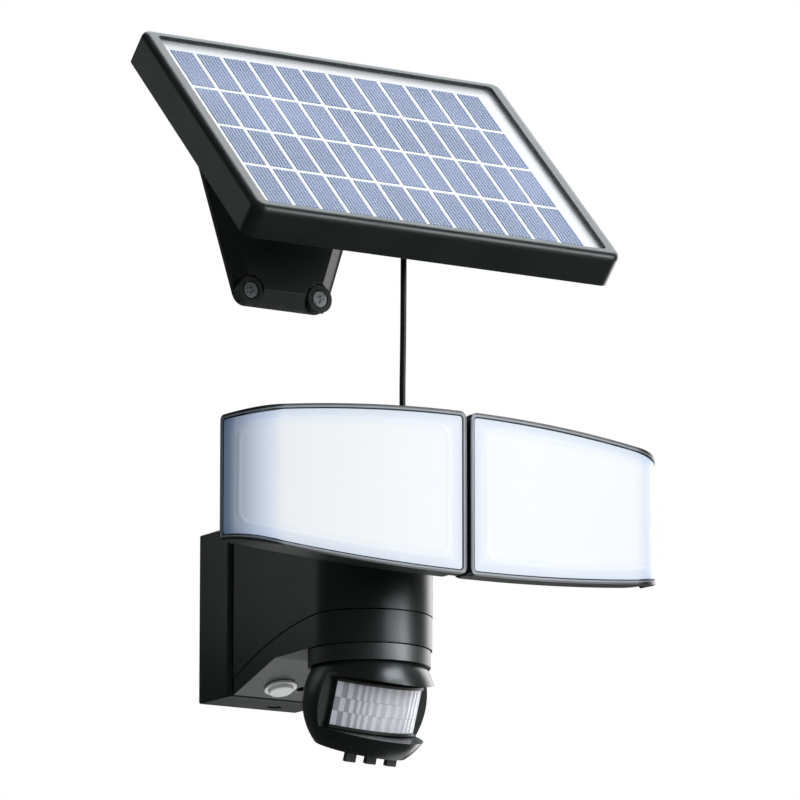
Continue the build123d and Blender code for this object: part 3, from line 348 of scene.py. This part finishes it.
def solar_cell():
    """Crystalline cells: a slow change of blue under fine silver fingers."""
    n = Nodes("solar_cell")
    local = n.local(PANEL_AT, PANEL_TILT)
    crystal = n.add("ShaderNodeTexVoronoi", feature="F1")
    crystal.inputs["Scale"].default_value = 230.0
    n.link(local, crystal.inputs["Vector"])
    grain = n.separate(crystal.outputs["Color"])[0]
    blue = n.mix(grain, (0.046, 0.086, 0.190), (0.056, 0.102, 0.218))
    wide = n.noise(16.0, vector=local)
    blue = n.mix(n.remap(wide, 0.42, 0.68, 0.0, 1.0), blue, (0.120, 0.175, 0.330))
    pitch = CELL_PITCH / 8
    past_left = n.math("ADD", n.separate(local)[0], 30 * CELL_PITCH - CELLS_LEFT)
    along = n.math("PINGPONG", past_left, pitch / 2)
    finger = n.remap(along, pitch * 0.22, pitch * 0.42, 0.0, 1.0)
    n.colour(n.mix(n.math("MULTIPLY", finger, 0.8), blue, (0.380, 0.480, 0.720)))
    n.rough(n.remap(grain, 0.0, 1.0, 0.30, 0.40))
    n.bump(grain, 0.01, 0.00002)
    n.set(Specular_IOR_Level=0.06)
    return n.mat


def clear_glass():
    """Almost invisible cover sheet of the panel, with a slight haze."""
    n = Nodes("panel_glass")
    haze = n.noise(60.0)
    n.rough(n.remap(haze, 0.3, 0.7, 0.04, 0.08))
    n.colour(n.mix(n.spread(haze), (0.96, 0.98, 1.0), (0.98, 0.99, 1.0)))
    n.set(Alpha=0.05, IOR=1.45, Specular_IOR_Level=0.3)
    return n.mat


def white_film():
    """White backing sheet that shows between the cells."""
    n = Nodes("white_film")
    fine = n.noise(1800.0)
    n.colour(n.mix(n.spread(n.noise(14.0)), (0.83, 0.86, 0.90), (0.88, 0.90, 0.93)))
    n.rough(n.remap(fine, 0.3, 0.7, 0.40, 0.48))
    n.bump(fine, 0.05, 0.00005)
    return n.mat


MAT["lens"] = frosted_lens("frosted_lens")
# the rib's copy of the lens is 3% lighter, a painted highlight on the raised rib
MAT["lens_rib"] = frosted_lens("frosted_lens_rib_painted_highlight", 1.03)
MAT["bezel"] = bezel_plastic_painted_lip_highlight()
MAT["pir"] = pir_plastic()
MAT["cell"] = solar_cell()
MAT["glass"] = clear_glass()
MAT["film"] = white_film()

LOOKS = {
    "bezel": ["right_head_bezel", "left_head_bezel"],
    "shell": ["back_box", "upper_housing", "lower_housing", "head_yoke", "head_hub",
              "right_head_housing", "left_head_housing", "hinge_lug", "panel_frame",
              "panel_back", "lamp_gland", "mounting_plate"],
    "bracket": ["wall_bracket"],
    "collar": ["sensor_collar"],
    "shell_fine": ["sensor_front_shell", "sensor_rear_shell"],
    "holder": ["lens_holder", "collar_clip", "swivel_stem", "battery_tray"],
    "knob": ["knob_time", "knob_light", "knob_range", "tilt_thumb_nut", "wing_nut"],
    "gasket": ["right_head_gasket", "left_head_gasket", "panel_grommet"],
    "white_moulding": ["push_button", "button_dish", "right_head_reflector",
                       "left_head_reflector"],
    "board": ["right_led_board", "left_led_board"],
    "green_board": ["control_board", "sensor_board", "button_switch"],
    "battery": ["battery_cells"],
    "steel": ["bracket_screws", "hinge_bolt", "tilt_bolt", "hub_pins", "detector"],
    "dark_steel": ["box_locking_screw", "housing_screws", "panel_screws", "right_head_screws",
                   "left_head_screws"],
    "lens": ["right_head_lens", "left_head_lens"],
    "cell": ["solar_cells"],
    "glass": ["panel_glass"],
    "film": ["cell_sheet"],
}
for look, names in LOOKS.items():
    for name in names:
        for entry in NODES[name].material_slots:
            entry.material = MAT[look]


# ---------------------------------------------------------------- mesh helpers
def add_object(name, work, material):
    """Turns a bmesh into a scene object with one material."""
    bmesh.ops.recalc_face_normals(work, faces=work.faces)
    mesh = bpy.data.meshes.new(name)
    work.to_mesh(mesh)
    work.free()
    mesh.materials.append(material)
    piece = bpy.data.objects.new(name, mesh)
    bpy.context.scene.collection.objects.link(piece)
    return piece


def new_piece(name, work, material, slot, body, *replaced):
    """Finishes a bmesh as a piece that rides on a body and stands for CAD nodes."""
    piece = add_object(name, work, material)
    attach(piece, body)
    if replaced:
        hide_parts(*replaced)
    return piece


def skin(work, rings):
    """Adds the rings' points and joins each ring to the next with four-sided faces."""
    loops = [[work.verts.new(at) for at in ring] for ring in rings]
    for a, b in zip(loops, loops[1:]):
        for k in range(len(a)):
            j = (k + 1) % len(a)
            work.faces.new((a[k], a[j], b[j], b[k]))
    return loops


def circle(centre, u, v, radius, count):
    """Points round a centre, in the plane of the unit vectors u and v."""
    turn = 2 * math.pi / count
    return [centre + (u * math.cos(k * turn) + v * math.sin(k * turn)) * radius
            for k in range(count)]


def tube(name, rings, material):
    """Rod through rings of points, closed by flat ends and smooth along its length."""
    work = bmesh.new()
    loops = skin(work, rings)
    work.faces.new(list(reversed(loops[0])))
    work.faces.new(loops[-1])
    piece = add_object(name, work, material)
    for face in piece.data.polygons:
        face.use_smooth = len(face.vertices) == 4
    return piece


# ---------------------------------------------------------------- cable
def cable_points():
    """Points along the lead, read from a NURBS spline with the route as its control points."""
    curve = bpy.data.curves.new("lead_route", "CURVE")
    curve.dimensions = "3D"
    spline = curve.splines.new("NURBS")
    spline.points.add(len(CABLE_ROUTE) - 1)
    for point, at in zip(spline.points, CABLE_ROUTE):
        point.co = (*at, 1.0)
    spline.order_u = 3
    spline.use_endpoint_u = True
    spline.resolution_u = 56
    route = bpy.data.objects.new("lead_route", curve)
    line = bpy.data.meshes.new_from_object(route)
    points = [vert.co.copy() for vert in line.vertices]
    bpy.data.objects.remove(route)
    bpy.data.curves.remove(curve)
    bpy.data.meshes.remove(line)
    return points


def make_cable():
    """Round lead as one tube that takes the place of the CAD cable."""
    points = cable_points()
    rings = []
    side = Vector((1.0, 0.0, 0.0))
    for i, at in enumerate(points):
        way = (points[min(i + 1, len(points) - 1)] - points[max(i - 1, 0)]).normalized()
        side = (side - way * side.dot(way)).normalized()
        rings.append(circle(at, side, way.cross(side), CABLE_D / 2, 16))
    lead = tube("panel_lead", rings, MAT["cable"])
    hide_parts("panel_cable")
    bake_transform(lead)


make_cable()


# ---------------------------------------------------------------- button spring
def make_spring(turns=6, length=0.0064, coil=0.0027, wire=0.0003):
    """Wire coil inside the button's sleeve."""
    inward = Vector((0.0, SLOPE_RISE, SLOPE_RUN)).normalized()
    low, high = (Vector(v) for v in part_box("button_spring"))
    middle = (low + high) / 2
    across = Vector((1.0, 0.0, 0.0))
    other = inward.cross(across)
    per_turn = 24
    steps = turns * per_turn
    rings = []
    for i in range(steps + 1):
        angle = 2 * math.pi * i / per_turn
        out = across * math.cos(angle) + other * math.sin(angle)
        at = middle + out * coil + inward * (length - 2 * wire) * (i / steps - 0.5)
        rings.append(circle(at, out, inward, wire, 8))
    spring = tube("return_spring", rings, MAT["steel"])
    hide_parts("button_spring")
    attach(spring, "lamp_body")
    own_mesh(spring)


make_spring()


# ---------------------------------------------------------------- sensor window
def ball_matrix():
    """Frame of the sensor ball: -Y is the way it looks."""
    return (Matrix.Translation(BALL_AT) @ Matrix.Rotation(BALL_PAN, 4, "Z")
            @ Matrix.Rotation(BALL_TILT, 4, "X"))


def facet_edges(count, phase):
    """Unequal facet limits from -1 to 1: wide at the near end and the middle, narrow between."""
    weights = [1.0 + 0.32 * math.cos(2 * math.pi * (i / count - 0.56) * 1.7 + phase)
               for i in range(count)]
    total = sum(weights)
    edges, run = [-1.0], 0.0
    for weight in weights:
        run += weight
        edges.append(2.0 * run / total - 1.0)
    return edges


def make_pir_lens():
    """Three rows of tall facets on a bowed window, every other one turned a little."""
    work = bmesh.new()
    shade = work.faces.layers.float.new("facet_painted_shade")
    half = math.asin(LENS_HALF_W / LENS_R)
    centre_y = LENS_R * math.cos(half) - LENS_ENDS
    turn = ball_matrix()
    height = LENS_HIGH - LENS_LOW
    seam, sink_by = 0.00006, 0.00022
    # each row: lower and upper share of the height, number of facets, shift of their widths
    for low, high, count, phase in ((0.64, 1.0, 24, 0.0), (0.33, 0.64, 25, 0.2),
                                    (0.0, 0.33, 24, 0.4)):
        edges = facet_edges(count, phase)
        z0 = LENS_LOW + low * height + seam
        z1 = LENS_LOW + high * height - seam
        for i in range(count):
            a0, a1 = edges[i] * half, edges[i + 1] * half
            odd = (i + count) % 2
            step = sink_by if odd else 0.0
            corners = []
            for angle, sink in ((a0, step), (a1, sink_by - step)):
                for radius in (LENS_R - 0.00005 - sink, LENS_R - LENS_T):
                    x, y = radius * math.sin(angle), centre_y - radius * math.cos(angle)
                    corners.append([work.verts.new(turn @ Vector((x, y, z))) for z in (z0, z1)])
            (f0, f1), (b0, b1), (g0, g1), (h0, h1) = corners
            quads = [(f0, g0, g1, f1), (b0, b1, h1, h0), (f0, f1, b1, b0), (g0, h0, h1, g1),
                     (f0, b0, h0, g0), (f1, g1, h1, b1)]
            # painted shade: facets darken towards the near end, and every other one is darker
            # still
            along = i / count
            painted_tone = 0.62 + 0.38 * min(1.8 * along, 1.0)
            if odd:
                painted_tone -= 0.50 - 0.36 * along
            for quad in quads:
                work.faces.new(quad)[shade] = painted_tone
    new_piece("sensor_window", work, MAT["pir"], "pir_lens", "sensor_ball", "pir_lens")


make_pir_lens()


# ---------------------------------------------------------------- relief on the head lenses
def front_point(run, depth):
    """Point in plan at a run along the head's front from the middle, at a depth behind it."""
    broad = HEAD_R * HEAD_SWEEP
    centre_y = HEAD_FRONT_Y + HEAD_R
    if run <= broad:
        angle = run / HEAD_R
        return (HEAD_R - depth) * math.sin(angle), centre_y - (HEAD_R - depth) * math.cos(angle)
    angle = HEAD_SWEEP + (run - broad) / HEAD_END_R
    end_x = (HEAD_R - HEAD_END_R) * math.sin(HEAD_SWEEP)
    end_y = centre_y - (HEAD_R - HEAD_END_R) * math.cos(HEAD_SWEEP)
    q = HEAD_END_R - depth
    return end_x + q * math.sin(angle), end_y - q * math.cos(angle)


def edge_height(x, middle, at_bend, at_end):
    """The same height as head_edge gives, as a number."""
    bend_x = HEAD_R * math.sin(HEAD_SWEEP)
    return (middle + at_bend * (min(x, bend_x) / bend_x) ** 2
            + (at_end - at_bend) * max(x - bend_x, 0.0) / HEAD_END_R)


def relief_path(inset, corner, extra=(0.0, 0.0)):
    """Closed rounded outline on the lens: (run, height) pairs inside the head's edges."""
    tip = HEAD_R * HEAD_SWEEP + HEAD_END_R * HEAD_END_SWEEP
    near, far = HEAD_GAP + extra[0] + inset + corner, tip - extra[1] - inset - corner
    steps, corner_steps = 60, 8

    def height(run, upper):
        x = front_point(run, 0.0)[0]
        if upper:
            return edge_height(x, HEAD_TOP, -TOP_FALL, -TOP_END_FALL) - inset
        return edge_height(x, HEAD_BOTTOM, LOW_RISE, LOW_END_RISE) + inset

    def bend(run, upper, start):
        base = height(run, upper) + (-corner if upper else corner)
        angles = [math.radians(start + 90 * k / corner_steps) for k in range(1, corner_steps + 1)]
        return [(run + corner * math.cos(a), base + corner * math.sin(a)) for a in angles]

    outline = []
    for k in range(steps + 1):
        run = near + (far - near) * k / steps
        outline.append((run, height(run, False)))
    outline += bend(far, False, -90) + bend(far, True, 0)
    for k in range(1, steps + 1):
        run = far - (far - near) * k / steps
        outline.append((run, height(run, True)))
    outline += bend(near, True, 90) + bend(near, False, 180)
    return outline[:-1]


def make_ring(side, name, material, slot, body, section, corner, extra=(0.0, 0.0)):
    """Strip that runs round on the lens; section lists (inset, depth) pairs across it."""
    first = section[0][0]
    rings = []
    for inset, depth in section:
        ring = []
        for run, height in relief_path(inset, corner + first - inset, extra):
            x, y = front_point(run, depth)
            ring.append((side * x, y, height))
        rings.append(ring)
    work = bmesh.new()
    skin(work, rings)
    piece = new_piece(name, work, material, slot, body)
    for face in piece.data.polygons:
        face.use_smooth = True


RIB = ((0.0066, 0.00052), (0.0073, 0.00040), (0.0091, 0.00040), (0.0098, 0.00052))
SEAL = ((0.00215, 0.0009), (0.00225, 0.00030), (0.00270, 0.00030), (0.00280, 0.00055))
for side, head in ((1.0, "right"), (-1.0, "left")):
    make_ring(side, head + "_lens_rib", MAT["lens_rib"], "head_lens", head + "_head", RIB, 0.0100,
              (0.0028, 0.0058))
    make_ring(side, head + "_lens_seal", MAT["gasket"], "gasket_rubber", head + "_head", SEAL,
              0.0024)


# ---------------------------------------------------------------- studio
WHITE = (1.0, 1.0, 1.0)


def area(name, at, aim, size, power, colour=WHITE, size_y=None):
    """Rectangular lamp at a place, turned to face another."""
    data = bpy.data.lights.new(name, "AREA")
    data.shape = "RECTANGLE"
    data.size = size
    data.size_y = size_y or size
    data.energy = power
    data.color = colour
    lamp = bpy.data.objects.new(name, data)
    bpy.context.scene.collection.objects.link(lamp)
    lamp.location = at
    lamp.rotation_euler = (Vector(aim) - Vector(at)).to_track_quat("-Z", "Y").to_euler()
    return lamp


def make_world():
    """White background to the camera and a faint cool light on everything else."""
    world = bpy.data.worlds.new("studio")
    bpy.context.scene.world = world
    world.use_nodes = True
    tree = world.node_tree
    dim = tree.nodes["Background"]
    dim.inputs["Color"].default_value = (0.93, 0.96, 1.0, 1.0)
    dim.inputs["Strength"].default_value = 0.06
    white = tree.nodes.new("ShaderNodeBackground")
    white.inputs["Color"].default_value = (*WHITE, 1.0)
    path = tree.nodes.new("ShaderNodeLightPath")
    mix = tree.nodes.new("ShaderNodeMixShader")
    tree.links.new(path.outputs["Is Camera Ray"], mix.inputs["Fac"])
    tree.links.new(dim.outputs[0], mix.inputs[1])
    tree.links.new(white.outputs[0], mix.inputs[2])
    tree.links.new(mix.outputs[0], tree.nodes["World Output"].inputs["Surface"])
    bpy.context.scene.view_settings.view_transform = "Standard"


def make_floor():
    """Pale disc well below the lamp that throws soft light up at it."""
    mesh = bpy.data.meshes.new("floor")
    work = bmesh.new()
    bmesh.ops.create_circle(work, cap_ends=True, segments=96, radius=1.6)
    work.to_mesh(mesh)
    work.free()
    floor = bpy.data.objects.new("floor", mesh)
    bpy.context.scene.collection.objects.link(floor)
    floor.location = (0.0, -0.1, -0.66)
    n = Nodes("floor")
    n.colour(n.mix(n.noise(3.0), (0.80, 0.80, 0.80), (0.84, 0.84, 0.84)))
    n.set(Roughness=0.7)
    mesh.materials.append(n.mat)
    floor.visible_glossy = False


def card(name, at, aim, wide, tall, radiance, colour=WHITE):
    """Soft white card that is only seen in reflections, at a given brightness."""
    lamp = area(name, at, aim, wide, radiance * math.pi * wide * tall, colour, tall)
    lamp.visible_diffuse = False
    lamp.visible_camera = False
    return lamp


make_world()
make_floor()
# lamps light the surfaces and stay out of reflections; the cards do the reverse
for lamp in (area("key", (0.9, -2.6, 0.7), (0.0, -0.15, 0.12), 1.8, 48.0),
             area("fill", (-0.95, -2.6, 0.3), (0.0, -0.15, 0.08), 1.0, 10.0, (0.90, 0.96, 1.0)),
             area("top", (0.2, -0.5, 1.9), (0.0, -0.1, 0.1), 1.6, 20.0),
             area("low", (0.5, 0.25, -0.6), (0.0, -0.1, 0.0), 0.5, 4.0)):
    lamp.visible_glossy = False
card("sky_card", (0.95, 0.45, 1.75), (0.0, -0.1, 0.2), 1.8, 1.6, 3.9, (0.90, 0.95, 1.0))
card("rim_card", (1.65, 0.55, 0.25), (0.0, -0.1, 0.1), 1.1, 1.8, 3.6)
card("strip_card", (1.50, -2.30, 0.45), (0.0, -0.15, 0.0), 0.75, 1.5, 10.5, (0.95, 0.97, 1.0))
card("ground_card", (0.8, -1.3, -0.62), (0.0, -0.1, 0.1), 1.6, 1.0, 0.5, (0.94, 1.0, 0.96))
card("low_card", (0.48, 0.42, -0.58), (0.0, -0.1, 0.0), 0.6, 0.6, 1.0, (0.96, 1.0, 0.97))
card("side_card", (-0.17, 0.13, 0.12), (-0.033, -0.09, 0.06), 0.10, 0.12, 0.4, (0.88, 1.0, 0.95))
card("edge_card", (-0.38, 0.36, 0.43), (-0.12, -0.05, 0.33), 0.3, 0.3, 0.4, (0.88, 1.0, 0.97))
hood = card("hood_card", (0.010, -0.208, 0.036), (-0.006, -0.160, -0.004), 0.046, 0.026, 2.2,
            (0.86, 0.93, 1.0))
hood.data.spread = math.radians(80.0)
